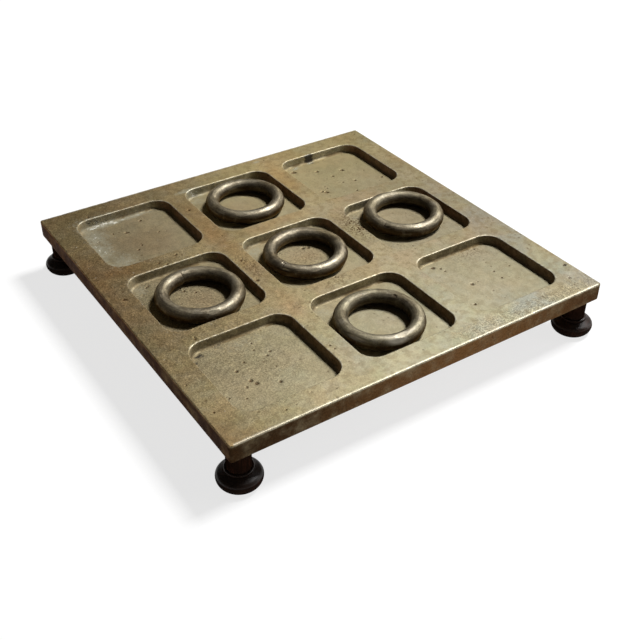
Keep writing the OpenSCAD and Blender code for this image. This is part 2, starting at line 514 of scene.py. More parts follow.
def shade_walls(skin, colour):
    patches = spread(grain(skin.place, 0.006, detail=5.0), 0.25, 0.6, 0.6, 1.0)
    wall = spread(skin.shelter, 0.0, 0.5) * patches
    side = spread(skin.shelter, 0.5, 1.0) * patches
    # Painted shade: the side that faces left, away from the light, is the darkest
    side_skin = blend(spread(skin.across, -0.1028, -0.098), SIDE_PAINTED_SHADE, SIDE_BROWN)
    # Painted light and shade: the front side is lighter in its middle and darker toward both ends
    from_middle = calc("ABSOLUTE", skin.across - 0.02)
    side_skin = tint(side_skin, spread(from_middle, 0.0, 0.115, 1.85, 0.42))
    # Painted shade: walls that face left, away from the light, are darker and redder
    wall_skin = blend(spread(skin.facing, -0.9, -0.2), WALL_PAINTED_SHADE, WALL_BROWN)
    toward_front = spread(skin.along, -0.06, 0.03, 0.4, 0.0)
    wall_skin = blend(toward_front, wall_skin, BRASS_SHADE)
    # The walls too are browner and darker toward the left corner, partly a painted shade
    wall_skin = tint(wall_skin, skin.browned_and_shaded, 0.4)
    wall_skin = tint(wall_skin, WALL_WARM, spread(skin.corner, -0.16, -0.07, 0.8, 0.0))
    grime = use_group(STAINS, Place=skin.place, Size=0.005, Share=0.5, Seed=12.0)
    wall_skin = blend(grime * 0.36, wall_skin, WALL_GRIME)
    grains = spread(skin.sand, 0.25, 0.75, 0.6, 1.25)
    colour = blend(wall, colour, tint(wall_skin, grains))
    colour = blend(side, colour, tint(side_skin, grains))
    return colour, side


colour, side = shade_walls(skin, colour)
print("walls and sides:", len(brass_tree.nodes), "nodes so far")

# %% [markdown]
# Here and there the fillet at the foot of a wall is darker and rougher, which dulls the highlight
# that its curve catches. The fillet is the narrow band where `shelter` has begun to rise and
# hasn't yet reached the wall's value. The rim has the same band, and `edge` takes it out.

# %% Brass layer: dirt in the fillets


def fill_fillets(skin, colour):
    band = spread(skin.shelter, 0.1, 0.3) - spread(skin.shelter, 0.42, 0.5)
    fillet = calc("MULTIPLY", band, 1.0 - spread(skin.edge, 0.0, 0.2), clamp=True)
    clumps = spread(grain(skin.place, 0.009, detail=5.0, seed=21.0), 0.4, 0.6, 0.25, 0.9)
    dirt = fillet * spread(skin.facing, -0.5, 0.0) * clumps
    return blend(dirt, colour, BRASS_SHADE), dirt


colour, dirt = fill_fillets(skin, colour)
print("dirt in the fillets:", len(brass_tree.nodes), "nodes so far")

# %% [markdown]
# Gas in the metal leaves pits of every size. The mesh has the large ones, and the small ones are
# drawn here: a few of 1 mm, a dust of finer ones where the sand was coarse, and ragged pores
# where `pepper` says so. Dirt makes them dark. Some hold a fleck of dried polish instead.

# %% Brass layer: pits, pores and flecks
FLECK_SHIFT = (0.31, 0.17, 0.0)


def pit_skin(skin, colour):
    pits = use_group(PITS, Place=skin.place, Spacing=0.0034, Share=0.45, Size=0.24)
    dust = use_group(PITS, Place=skin.place, Spacing=0.0018, Share=0.4, Size=0.27)
    pits = most(pits, dust * most(skin.coarse, skin.pepper * 1.4))
    ragged = spread(grain(skin.place, 0.0006, detail=2.0, seed=14.0), 0.3, 0.55, 0.55, 1.0)
    pits = most(pits, skin.pit * ragged)
    pores = grain(skin.place, 0.0011, detail=2.0, rough=0.6, seed=33.0)
    pits = most(pits, spread(pores, 0.5, 0.57) * skin.pepper)
    colour = blend(pits * 0.8, colour, PIT_DARK)
    flecks = use_group(PITS, Place=shifted(skin.place, FLECK_SHIFT), Spacing=0.0028, Share=0.3, Size=0.17)
    open_top = calc("SUBTRACT", 0.7, skin.shelter, clamp=True)
    flecks = flecks * skin.left * open_top
    return blend(flecks, colour, RESIDUE), pits


colour, pits = pit_skin(skin, colour)
print("pits, pores and flecks:", len(brass_tree.nodes), "nodes so far")

# %% [markdown]
# Old polish has dried to a thin grey veil with white crumbs in it, and black scale from the
# mould clings to a wall or two. The mesh says roughly where, with soft round dabs. A crumbly
# noise is added before the threshold, so that their outlines break up as the real ones do.

# %% Brass layer: dried polish and scale


def dab_skin(skin, colour):
    crumbs = grain(skin.place, 0.002, detail=6.0, rough=0.8, seed=8.0) - 0.5
    veil = skin.residue + crumbs * spread(skin.residue, 0.0, 0.2, 0.0, 2.0)
    colour = blend(spread(veil, 0.05, 0.7, 0.0, 0.65), colour, VEIL)
    residue = spread(skin.residue + crumbs * 3.2, 0.8, 1.0) * spread(skin.residue, 0.1, 0.5)
    colour = blend(residue * 0.85, colour, RESIDUE)
    scale = skin.scale + crumbs * spread(skin.scale, 0.0, 0.2, 0.0, 1.6)
    return blend(spread(scale, 0.2, 0.55) * 0.85, colour, SCALE_BLACK), residue


colour, residue = dab_skin(skin, colour)
print("dried polish and scale:", len(brass_tree.nodes), "nodes so far")

# %% [markdown]
# The layers go on in order, and the rims that hands have rubbed bright come last. The skin is
# part metal and part oxide, which scatters light as chalk does, so Metallic stays between the
# two and falls where polish or dirt lies. The relief is a tenth of a millimetre at most.

# %% Material: cast brass
OXIDE_SHINE = 0.06
# How high each mark stands on the skin, or how deep it cuts, in metres
SAND_HEIGHT = 0.00015
FINE_HEIGHT = 0.00004
RIPPLE_HEIGHT = 0.00012
RESIDUE_HEIGHT = 0.00010
PIT_DEPTH = 0.00012
SCRATCH_DEPTH = 0.00002

worn = use_group(EDGE_WEAR, Place=skin.place, Edge=skin.edge, Size=0.002)
wire(blend(worn * 0.34, colour, BRASS_BRIGHT), brass_shader.inputs["Base Color"])
metal = spread(grain(skin.place, 0.008, detail=5.0, seed=5.0), 0.3, 0.7, 0.62, 0.84)
metal = calc("SUBTRACT", metal - side * 0.3, residue * 0.5, clamp=True)
wire(metal, brass_shader.inputs["Metallic"])
brass_shader.inputs["Specular IOR Level"].default_value = OXIDE_SHINE
brass_shader.inputs["Specular Tint"].default_value = OXIDE_SHEEN
rough = spread(grain(skin.place, 0.004, detail=5.0), 0.3, 0.7, 0.6, 0.72)
wire(rough - worn * 0.12 + dirt * 0.2, brass_shader.inputs["Roughness"])
ripple = grain(skin.place, 0.003, detail=3.0)
scratch = use_group(SCRATCHES, Place=skin.place, Turn=(0.0, 0.0, 0.6), Width=0.00035, Share=0.3)
height = skin.sand * skin.coarse * SAND_HEIGHT + skin.fine * FINE_HEIGHT + ripple * RIPPLE_HEIGHT
height += residue * RESIDUE_HEIGHT
emboss(brass_shader, height - pits * PIT_DEPTH - scratch * SCRATCH_DEPTH)
print("cast brass:", len(brass_tree.nodes), "nodes")

# %% [markdown]
# Dark bronze rod
#
# The rings are bent from round rod of a darker metal. Handling has half polished them, so that
# they show broad soft highlights on top, and brown skin is left on the outward side. The mesh
# carries marks for that too: `wear_and_shade` is pale where fingers have worn the skin off on
# top, and dark brown below and outward, which is partly a painted shade. `tarnish` is a painted
# reflection and shade, browner and darker at a ring's left, right and back. `inside` is a
# painted shade on the face round the hole, deepest where that face looks away from the light.
# `dull` is how much olive skin a whole ring has kept. `seam` is the joint and the dirt in nicks,
# and `rubbed` the bright nicks and the pale patches painted where the lamp's
# highlight falls.
#
# Drawing and bending leave streaks along the rod. A noise in plain space can't follow a bend, so
# the mesh also carries a place along the rod, `rod_place` and `rod_lift`, for the streaks alone.

# %% Material: dark bronze
BRONZE_GREY = ink(156, 148, 130)
BRONZE_BROWN = ink(80, 65, 46)
BRONZE_OLIVE = ink(148, 142, 120)
BRONZE_PALE = ink(198, 191, 174)
BRONZE_SHEEN = ink(216, 196, 160)
# Painted shade on the face round a ring's hole
INSIDE_SHADE = (0.66, 0.65, 0.65, 1)
# A painted reflection and shade: browner and darker at each ring's left, right and back
RING_SIDE_PAINTED_SHADE = (0.74, 0.67, 0.54, 1)
SEAM_DARK = ink(44, 34, 24)
WAX_ROUGHNESS = 0.34


def make_bronze():
    material, tree, shader = start_material("dark bronze")
    place = own_place(tree)
    dull, wear_and_shade, rubbed, lift = [carried(tree, name) for name in ("dull", "wear_and_shade", "rubbed", "rod_lift")]
    streak = grain(carried(tree, "rod_place", "Vector"), 0.0009, detail=4.0, rough=0.6, seed=lift)
    sand = grain(place, 0.0007, detail=3.0, rough=0.7, seed=6.0)
    brown = use_group(STAINS, Place=place, Size=0.009, Share=0.5, Seed=2.0)
    pale = use_group(STAINS, Place=place, Size=0.004, Share=0.3, Seed=5.0)
    specks = use_group(PITS, Place=place, Spacing=0.0016, Share=0.35, Size=0.26)
    # The metal, its brown skin, partly a painted shade, and paler stains
    colour = blend(dull, BRONZE_GREY, BRONZE_OLIVE)
    # Dark brown where the rod is least worn, below and outward, partly a painted shade
    skin = most(brown * 0.5, calc("SUBTRACT", 1.0, wear_and_shade, clamp=True))
    colour = blend(skin, colour, BRONZE_BROWN)
    colour = blend(pale * 0.22, colour, BRONZE_PALE)
    # Grain and streaks, then bright nicks and painted highlights, a painted reflection and shade on
    # the sides, a painted shade inside, and the dirt that use has left
    colour = tint(colour, spread(sand, 0.25, 0.75, 0.68, 1.26))
    colour = tint(colour, spread(streak, 0.25, 0.75, 0.58, 1.34))
    # Bright nicks, and pale patches painted where the lamp's highlight falls
    colour = blend(rubbed * 0.85, colour, BRONZE_PALE)
    # Painted reflection and shade: browner and darker at the left, right and back
    colour = tint(colour, RING_SIDE_PAINTED_SHADE, carried(tree, "tarnish"))
    # Painted shade round the hole
    colour = tint(colour, INSIDE_SHADE, carried(tree, "inside"))
    dirt = most(carried(tree, "seam"), specks * 0.7)
    wire(blend(dirt, colour, SEAM_DARK), shader.inputs["Base Color"])
    shader.inputs["Metallic"].default_value = 0.9
    shader.inputs["Specular IOR Level"].default_value = 0.25
    shader.inputs["Specular Tint"].default_value = BRONZE_SHEEN
    rough = spread(grain(place, 0.003, detail=5.0), 0.3, 0.7, 0.44, 0.58)
    rough = rough + dull * 0.12 + (streak - 0.5) * 0.2 - rubbed * 0.12
    wire(rough, shader.inputs["Roughness"])
    # Wax from the hands lies over the metal as a thin clear coat
    wire(wear_and_shade * 0.15, shader.inputs["Coat Weight"])
    shader.inputs["Coat Roughness"].default_value = WAX_ROUGHNESS
    ripple = grain(place, 0.0014, detail=4.0)
    scratch = use_group(SCRATCHES, Place=place, Turn=(0.0, 0.3, 1.2), Width=0.00025, Share=0.35)
    # How high each mark stands on the rod, in metres
    height = ripple * 0.00008 + sand * 0.00004 + streak * 0.00010
    emboss(shader, height - specks * 0.00004 - scratch * 0.000012)
    return material


DARK_BRONZE = make_bronze()
print("dark bronze:", len(DARK_BRONZE.node_tree.nodes), "nodes")

# %% [markdown]
# Ebonised wood
#
# The feet are a hard, close-grained wood, stained black and polished on the lathe. The stain
# leaves a trace of red-brown, the pores run up and down, and the turning tool has left faint
# rings. Stretching the place that a noise reads draws it out: upright for the pores, and level
# for the rings. The polish is a thin clear coat, and only the bun has kept it, where it faces up.

# %% Material: ebonised wood
WOOD_BLACK = ink(31, 20, 14)
WOOD_RED = ink(52, 30, 21)
PORE_DRAW = (1.0, 1.0, 0.12)
RING_DRAW = (0.02, 0.02, 1.0)
POLISH_ROUGHNESS = 0.38
BUN_TOP = (0.008, 0.011)


def make_wood():
    material, tree, shader = start_material("ebonised wood")
    place = own_place(tree)
    fibre = grain(stretched(place, PORE_DRAW), 0.0009, detail=4.0, rough=0.6)
    stain = use_group(STAINS, Place=place, Size=0.008, Share=0.45, Seed=3.0)
    red = spread(fibre, 0.4, 0.65) * (stain * 0.6 + 0.25)
    wire(blend(red, WOOD_BLACK, WOOD_RED), shader.inputs["Base Color"])
    wire(spread(fibre, 0.3, 0.7, 0.3, 0.42), shader.inputs["Roughness"])
    shader.inputs["Specular IOR Level"].default_value = 0.0
    bun = spread(split(place)[2], *BUN_TOP, 1.0, 0.0)
    polish = bun * spread(facing(tree, "Z"), 0.3, 0.55, 0.04, 0.8)
    wire(polish, shader.inputs["Coat Weight"])
    shader.inputs["Coat Roughness"].default_value = POLISH_ROUGHNESS
    rings = grain(stretched(place, RING_DRAW), 0.0005, detail=2.0)
    emboss(shader, rings * 0.000012 + fibre * 0.00001, 0.7)
    return material


EBONISED_WOOD = make_wood()
print("ebonised wood:", len(EBONISED_WOOD.node_tree.nodes), "nodes")

# %% [markdown]
# Screws and washers
#
# Under each foot sits a slotted brass screw on a plain washer. They are turned parts, dulled by
# age, with the fine marks that a lathe leaves and some tarnish.

# %% Material: turned brass
SCREW_YELLOW = ink(196, 166, 104)
SCREW_TARNISH = ink(110, 88, 54)


def make_turned_brass():
    material, tree, shader = start_material("turned brass")
    place = own_place(tree)
    tarnish = use_group(STAINS, Place=place, Size=0.003, Share=0.5, Seed=6.0)
    wire(blend(tarnish, SCREW_YELLOW, SCREW_TARNISH), shader.inputs["Base Color"])
    shader.inputs["Metallic"].default_value = 1.0
    wire(spread(tarnish, 0.0, 1.0, 0.28, 0.46), shader.inputs["Roughness"])
    marks = use_group(SCRATCHES, Place=place, Turn=(0.0, 0.0, 0.9), Width=0.00015, Share=0.6)
    emboss(shader, marks * -0.00001, 0.6)
    return material


TURNED_BRASS = make_turned_brass()
print("turned brass:", len(TURNED_BRASS.node_tree.nodes), "nodes")

# %% [markdown]
# The cast plate
#
# The frame's plate has exact faces. A real casting is softer: its flats wander by a tenth of a
# millimetre, its rims are dinged, and gas has left pits. To carry that, the surface needs small,
# even faces that follow the pockets. The way chosen is to press one flat grid into shape, as
# sand is pressed into a mould. Every square ring of grid points round a pocket's middle becomes
# one line of the pocket: floor, fillet, wall, rim or land. Every ring round the whole block
# becomes one line of the border, the edge or the side. The grid stays whole, so nothing can gape.

# %% Sizes of the plate
POCKET_SIDE = 51 * MM
POCKET_DEPTH = 4.6 * MM
POCKET_CORNER = 8.5 * MM
POCKET_DRAFT = radians(6)
FLOOR_RADIUS = 1.2 * MM
RIM_RADIUS = 0.6 * MM
BORDER_WIDTH = 12.9 * MM
PLATE_CORNER = 1.2 * MM
EDGE_RADIUS = 0.6 * MM

plate_half = (plate_high.x - plate_low.x) / 2
plate_top = plate_high.z
plate_under = plate_low.z
cell_pitch = (2 * plate_half - 2 * BORDER_WIDTH - POCKET_SIDE) / 2
cell_half = cell_pitch / 2
print("cell pitch", round(1000 * cell_pitch, 2), "mm")

# %% [markdown]
# A row is one line of points round a pocket or round the board. It says how far the line reaches
# from the middle, the radius of its corners, its height, and its `edge` and `shelter` marks. The
# rounded parts of a profile are arcs, and the flats between them are straight lines.

# %% Rows of a pocket
FLOOR_STEPS = 23
FLOOR_END = 0.992
WALL_SHARES = (0.25, 0.5, 0.75, 1.0)
WALL_SHELTER = 0.5
RIM_SHELTER = (0.35, 0.1, 0.0)
RIM_WEAR = 0.6
# How far along the land from a rim to the cell's end, and how worn it is there
LAND_WEAR = ((0.04, 0.45), (0.22, 0.1), (0.45, 0.0), (0.7, 0.0), (1.0, 0.0))


def arc_points(centre_x, centre_y, radius, start, end, steps):
    """Points of an arc in a profile, without its first one."""
    turns = [start + (end - start) * step / steps for step in range(1, steps + 1)]
    return [(centre_x + radius * cos(turn), centre_y + radius * sin(turn)) for turn in turns]


def line_points(start, end, shares):
    return [(start[0] + (end[0] - start[0]) * s, start[1] + (end[1] - start[1]) * s) for s in shares]


def pocket_rows():
    lean = tan(POCKET_DRAFT)
    floor_x = POCKET_CORNER - (POCKET_DEPTH - FLOOR_RADIUS) * lean - FLOOR_RADIUS / cos(POCKET_DRAFT)
    rim_x = POCKET_CORNER - RIM_RADIUS * lean + RIM_RADIUS / cos(POCKET_DRAFT)
    core = POCKET_SIDE / 2 - POCKET_CORNER
    shares = [min(step / FLOOR_STEPS, FLOOR_END) for step in range(FLOOR_STEPS + 1)]
    rows = [((core + floor_x) * share, floor_x * share, -POCKET_DEPTH, 0.0, 0.0) for share in shares]
    rows.append((core + floor_x, floor_x, -POCKET_DEPTH, 0.0, 0.2))
    fillet = arc_points(floor_x, FLOOR_RADIUS - POCKET_DEPTH, FLOOR_RADIUS, -pi / 2, -POCKET_DRAFT, 4)
    rows += [(core + x, x, y, 0.0, 0.3 + 0.05 * n) for n, (x, y) in enumerate(fillet)]
    head = (rim_x - RIM_RADIUS * cos(POCKET_DRAFT), RIM_RADIUS * sin(POCKET_DRAFT) - RIM_RADIUS)
    wall = line_points(fillet[-1], head, WALL_SHARES)
    rows += [(core + x, x, y, 0.0, WALL_SHELTER) for x, y in wall]
    rim = arc_points(rim_x, -RIM_RADIUS, RIM_RADIUS, pi - POCKET_DRAFT, pi / 2, 3)
    rows += [(core + x, x, y, RIM_WEAR, shelter) for (x, y), shelter in zip(rim, RIM_SHELTER)]
    start = core + rim_x
    rows += [(start + (cell_half - start) * share, rim_x * (1 - share), 0.0, edge, 0.0)
             for share, edge in LAND_WEAR]
    return rows


POCKET_ROWS = pocket_rows()
print("pocket", len(POCKET_ROWS), "rows")

# %% [markdown]
# The border goes on from the outermost cells: out over the flat, round the top edge, down the
# side and round the low edge. Its top edge is the most rubbed line of the whole board.

# %% Rows of the border
# How far across the border, and how worn it is there
BORDER_WEAR = ((0.15, 0), (0.3, 0), (0.45, 0), (0.6, 0), (0.75, 0), (0.88, 0.3), (0.98, 0.8), (1.0, 1.0))
TOP_EDGE_MARKS = ((1.0, 0.0), (1.0, 0.0), (0.9, 0.3), (0.6, 0.7))
LOW_EDGE_WEAR = 0.3
SIDE_STEPS = 8


def border_rows():
    block = 3 * cell_half
    flat = PLATE_CORNER - EDGE_RADIUS
    core = plate_half - PLATE_CORNER
    thick = plate_top - plate_under
    rows = [(block + (core + flat - block) * share, flat * share, 0.0, edge, 0.0)
            for share, edge in BORDER_WEAR]
    top_edge = arc_points(flat, -EDGE_RADIUS, EDGE_RADIUS, pi / 2, 0, 4)
    rows += [(core + x, x, y, *marks) for (x, y), marks in zip(top_edge, TOP_EDGE_MARKS)]
    shares = [step / SIDE_STEPS for step in range(1, SIDE_STEPS + 1)]
    side = line_points((PLATE_CORNER, -EDGE_RADIUS), (PLATE_CORNER, EDGE_RADIUS - thick), shares)
    rows += [(core + x, x, y, 0.0, 1.0) for x, y in side]
    low_edge = arc_points(flat, EDGE_RADIUS - thick, EDGE_RADIUS, 0, -pi / 2, 3)
    rows += [(core + x, x, y, LOW_EDGE_WEAR, 1.0) for x, y in low_edge]
    return rows


BORDER_ROWS = border_rows()
cell_count = len(POCKET_ROWS) - 1
block_count = 3 * cell_count
grid_count = block_count + len(BORDER_ROWS)
print("border", len(BORDER_ROWS), "rows; the whole grid", 2 * grid_count, "squares a side")

# %% [markdown]
# `on_square` finds a point on a square with round corners. It walks along one side from the
# middle, first straight and then round the corner's arc, as far as the diagonal. Near the
# plate's own corners the points crowd together, so that the small upright rounding gets enough.

# %% Walk round a square with round corners


def on_square(reach, corner, along):
    straight = reach - corner
    walk = abs(along) * (straight + corner * pi / 4)
    if walk <= straight:
        return reach, copysign(walk, along)
    turn = (walk - straight) / corner
    return straight + corner * cos(turn), copysign(straight + corner * sin(turn), along)


def round_place(column, row, ring, reach, corner, crowd=0.0):
    """Where the grid point at column and row goes, when its square ring takes this reach and corner."""
    if ring == 0:
        return 0.0, 0.0
    upright = abs(row) > abs(column)
    along = (column if upright else row) / ring
    along = (1 - crowd) * along + crowd * sin(along * pi / 2)
    out, aside = on_square(reach, corner, along)
    if upright:
        return aside, copysign(out, row)
    return copysign(out, column), aside


rim_corner = on_square(POCKET_SIDE / 2, POCKET_CORNER, 1.0)
print("a pocket's round corner lies", [round(1000 * v, 2) for v in rim_corner], "mm from its middle")

# %% [markdown]
# Each grid point asks which ring it is on, and its row tells the rest. The rims at a pocket's left
# and front are less bright than the other two, and so are the plate's own left and right edges.

# %% Press the grid into shape
CROWDING = 0.6
NEAR_RIM_WEAR = 0.7
SIDE_EDGE_WEAR = 0.35
SIDE_EDGE_WIDTH = 2 * MM


def nearest_cell(count):
    return max(-1, min(1, round(count / (2 * cell_count))))


def press_point(column, row):
    """The place of a grid point on the plate, with its marks."""
    ring = max(abs(column), abs(row))
    if ring > block_count:
        step = ring - block_count
        reach, corner, height, edge, shelter = BORDER_ROWS[step - 1]
        x, y = round_place(column, row, ring, reach, corner, CROWDING * step / len(BORDER_ROWS))
        return Vector((x, y, plate_top + height)), edge, shelter
    cell_column, cell_row = nearest_cell(column), nearest_cell(row)
    own_column = column - 2 * cell_count * cell_column
    own_row = row - 2 * cell_count * cell_row
    own_ring = max(abs(own_column), abs(own_row))
    reach, corner, height, edge, shelter = POCKET_ROWS[own_ring]
    x, y = round_place(own_column, own_row, own_ring, reach, corner)
    if min(own_column, own_row) == -own_ring:
        edge *= NEAR_RIM_WEAR
    middle = Vector((cell_column * cell_pitch, cell_row * cell_pitch, plate_top))
    return middle + Vector((x, y, height)), edge, shelter


def press_plate():
    bm = bmesh.new()
    bmesh.ops.create_grid(bm, x_segments=2 * grid_count, y_segments=2 * grid_count, size=grid_count)
    marks = {name: bm.verts.layers.float.new(name) for name in MARKS}
    for vert in bm.verts:
        vert.co, edge, vert[marks["shelter"]] = press_point(round(vert.co.x), round(vert.co.y))
        at_side = abs(vert.co.x) > plate_half - SIDE_EDGE_WIDTH
        vert[marks["edge"]] = edge * SIDE_EDGE_WEAR if at_side else edge
    return bm, marks


plate_mesh, plate_marks = press_plate()
print("pressed", len(plate_mesh.faces), "faces")

# %% [markdown]
# The underside is one flat sheet with the four blind holes for the feet's screws. Its rim is
# the grid's own outer row, so the sheet is stretched between that rim and four circles.

# %% Close the underside
SCREW_HOLE_RADIUS = 2.05 * MM
SCREW_HOLE_DEPTH = 7 * MM
HOLE_SIDES = 32
foot_names = [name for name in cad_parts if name.startswith("foot_") and name.count("_") == 2]


def hole_circle(bm, foot):
    """The edges of a circle on the underside, over the middle of a foot."""
    low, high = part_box(foot)
    middle = (low + high) / 2
    place = Matrix.Translation((middle.x, middle.y, plate_under))
    made = bmesh.ops.create_circle(bm, segments=HOLE_SIDES, radius=SCREW_HOLE_RADIUS, matrix=place)
    return list({edge for vert in made["verts"] for edge in vert.link_edges})


def close_underside(bm, marks):
    rim = [edge for edge in bm.edges if edge.is_boundary]
    holes = [hole_circle(bm, name) for name in foot_names]
    loops = rim + [edge for hole in holes for edge in hole]
    sheet = bmesh.ops.triangle_fill(bm, edges=loops, use_beauty=True, use_dissolve=False)
    sheet_faces = [item for item in sheet["geom"] if isinstance(item, bmesh.types.BMFace)]
    for hole in holes:
        raised = bmesh.ops.extrude_edge_only(bm, edges=hole)["geom"]
        verts = [item for item in raised if isinstance(item, bmesh.types.BMVert)]
        bmesh.ops.translate(bm, verts=verts, vec=(0, 0, SCREW_HOLE_DEPTH))
        bmesh.ops.contextual_create(bm, geom=verts)
    for face in sheet_faces:
        for vert in face.verts:
            vert[marks["shelter"]] = 1.0
    return sheet_faces


under_faces = close_underside(plate_mesh, plate_marks)
bmesh.ops.recalc_face_normals(plate_mesh, faces=plate_mesh.faces)
print("underside", len(under_faces), "faces; open edges", sum(edge.is_boundary for edge in plate_mesh.edges))

# %% [markdown]
# Now the casting's unevenness. Each point sinks a little along its own normal, by noise at three
# sizes: the slow warp of the mould, the hand-rammed sand, and the ripple of the skin. Points only
# ever sink, so the plate never grows past its true size. The outer edge also gets dings.

# %% Sink the skin of the casting
# Width of the waves, and how deep they sink
WARP = ((0.045, 0.10 * MM), (0.009, 0.06 * MM), (0.0032, 0.022 * MM))
UNDER_BAND = 0.1 * MM
# Dings are at the outer edge, where it is worn
DING_SIZE = 0.005
DING_DEPTH = 0.35 * MM
DING_START = 0.28
DING_BAND = 1.5 * MM
DING_WEAR = 0.4
DING_SHIFT = Vector((7.3, 1.9, 4.4))


def sink_skin(bm, marks, skip):
    bm.normal_update()
    untouched = {vert for face in skip for vert in face.verts}
    moves = []
    for vert in bm.verts:
        if vert in untouched or vert.co.z < plate_under + UNDER_BAND:
            continue
        depth = 0.0
        for size, amount in WARP:
            depth += amount * (0.5 + 0.5 * noise.noise(vert.co / size))
        outer = max(abs(vert.co.x), abs(vert.co.y)) > plate_half - DING_BAND
        if outer and vert[marks["edge"]] > DING_WEAR:
            ding = noise.noise(vert.co / DING_SIZE + DING_SHIFT)
            depth += DING_DEPTH * max(0.0, ding - DING_START)
        moves.append((vert, depth))
    for vert, depth in moves:
        vert.co -= vert.normal * depth
    return len(moves)


print("sank", sink_skin(plate_mesh, plate_marks, under_faces), "points")

# %% [markdown]
# Gas bubbles in the molten brass leave pits. The larger ones are real dents: the faces round
# each are divided finer, and their points are pressed down in a bowl with a soft lip. Those that
# show most have their own places, and 60 small ones are scattered at random, with a fixed seed
# so that each run gives the same plate.

# %% Places of the pits
# Millimetres: x, y, radius
LARGE_PITS = (
    (-73, -57.4, 0.75), (-70.9, -65.8, 0.95), (-69.8, -68.7, 0.9), (-60.9, -73.1, 0.8),
    (-54, -53.2, 0.7), (-56.6, -55.1, 0.6), (-67.4, -53.7, 0.6), (-74.5, -68.6, 0.55),
    (-59.7, -48.8, 0.55), (-58.1, -43.9, 0.5), (-84.1, -70.9, 0.5), (-78.1, -74.8, 0.5),
    (-97.2, -59, 0.5), (-95.5, -79.5, 0.5), (-71, -93.6, 0.5), (46.5, -41, 1), (49.3, -43.5, 0.6),
    (49.8, -46.3, 0.45), (53.4, -62.1, 0.9), (43.6, -75.4, 0.7), (69.1, -65.8, 0.5), (69.6, -59.5, 0.5),
    (79.3, -59.8, 0.45), (74.9, -38.6, 0.6), (96.9, -79, 0.7), (90.8, -88.3, 0.6), (-34, -9, 0.85),
    (-33.5, -69, 0.5), (-33, -72, 0.45), (-93, 10.6, 0.8), (-92, 10, 0.6), (-64.9, 71.8, 0.8),
    (-64, 71.2, 0.6), (-53.7, 79, 0.8), (-50.3, 63.4, 0.55), (-66.5, 53.2, 0.7), (-63.3, 56.2, 0.5),
    (-71.1, 74.1, 0.5), (-80.3, 70.7, 0.5), (-55.9, 32, 0.7), (-66.2, 29.6, 0.6), (-63.3, 26.7, 0.6),
    (-30.5, 67.5, 0.8), (-77.7, 89.6, 0.8), (-79.7, -33.5, 0.7), (-76.6, 21, 0.6), (-78, 20.2, 0.6),
    (-64.2, 7.9, 0.7), (-59.9, 4.1, 0.6), (-65.4, 9.7, 0.5), (3, 9.1, 0.85), (5.7, 8.2, 0.85),
    (-1.8, -27, 0.6), (-0.9, -27.7, 0.5), (-31.8, 10.3, 0.7), (42.7, 80.7, 1.15), (43.6, 80, 0.9),
    (54.9, 74.2, 0.9), (68.2, 67.8, 0.95), (67.6, 68.4, 0.8), (67.2, 53.9, 0.8), (82.3, 49.1, 0.75),
    (73, 38.9, 0.65), (61.4, 43.7, 0.65), (44.1, 52.9, 0.9), (45.6, 51.2, 1), (46.4, 50.6, 0.8),
    (59.5, 64.7, 0.7), (48.7, 54.8, 0.5), (60.2, 55.7, 0.5),
)
SMALL_PITS = 60
SMALL_PIT_REACH = 0.96
BOWL_WIDTH = 1.2
BOWL_DEPTH = 0.4
random.seed(11)


def pit_places():
    """Each pit's x, y, radius and depth in metres."""
    places = [(x * MM, y * MM, BOWL_WIDTH * radius * MM, BOWL_DEPTH * radius * MM)
              for x, y, radius in LARGE_PITS]
    for _ in range(SMALL_PITS):
        x = random.uniform(-SMALL_PIT_REACH, SMALL_PIT_REACH) * plate_half
        y = random.uniform(-SMALL_PIT_REACH, SMALL_PIT_REACH) * plate_half
        radius = random.uniform(0.25, 0.5) * MM
        places.append((x, y, radius, radius * random.uniform(0.35, 0.6)))
    return places


pit_list = pit_places()
print("places for", len(pit_list), "pits")

# %% [markdown]
# The plate has tens of thousands of faces, and only those beside a pit are divided. Sorting the
# faces into squares of 4 mm first means that each pit looks through nine squares instead of all.

# %% Press the pits
SORT_SQUARE = 0.004
LEVEL_FACE = 0.95
UPWARD_POINT = 0.8
# Faces are divided within so many radii of a pit, and this much further
PIT_REACH = 1.6
PIT_MARGIN = 0.35 * MM
PIT_CUTS = 3
# A bowl is flat in its middle, steep at its lip, and ends at so many radii
BOWL_LIP = 1.25
BOWL_END = 1.8


def square_of(x, y):
    return int(x // SORT_SQUARE), int(y // SORT_SQUARE)


def faces_at_pits(bm, places):
    squares = {}
    for face in bm.faces:
        if face.normal.z > LEVEL_FACE:
            middle = face.calc_center_median()
            squares.setdefault(square_of(middle.x, middle.y), []).append(face)
    chosen = set()
    for x, y, radius, _ in places:
        column, row = square_of(x, y)
        around = [(column + dx, row + dy) for dx in (-1, 0, 1) for dy in (-1, 0, 1)]
        for face in [face for square in around for face in squares.get(square, [])]:
            gap = face.calc_center_median().xy - Vector((x, y))
            if gap.length < PIT_REACH * radius + PIT_MARGIN:
                chosen.add(face)
    return chosen


def press_pits(bm, layer, places):
    edges = {edge for face in faces_at_pits(bm, places) for edge in face.edges}
    bmesh.ops.subdivide_edges(bm, edges=list(edges), cuts=PIT_CUTS, use_grid_fill=True)
    bm.normal_update()
    for vert in bm.verts:
        if vert.normal.z < UPWARD_POINT:
            continue
        for x, y, radius, depth in places:
            gap = hypot(vert.co.x - x, vert.co.y - y) / radius
            if gap < BOWL_END:
                bowl = exp(-(gap * BOWL_LIP) ** 4)
                vert.co.z -= depth * bowl
                vert[layer] = max(vert[layer], min(1.0, 1.4 * bowl))
    return len(places)


print("pits", press_pits(plate_mesh, plate_marks["pit"], pit_list), "faces", len(plate_mesh.faces))

# %% [markdown]
# Stains that sit in one place are dabbed on as soft round marks, and the shader breaks them up
# with a fine noise. Old polish has dried grey-white along two sides of the left pocket and in the
# sheltered back corners of others. Black casting scale is left on a wall or two. Brown from
# handling lies on some bars and floors, and fine black pores show where the metal was porous.

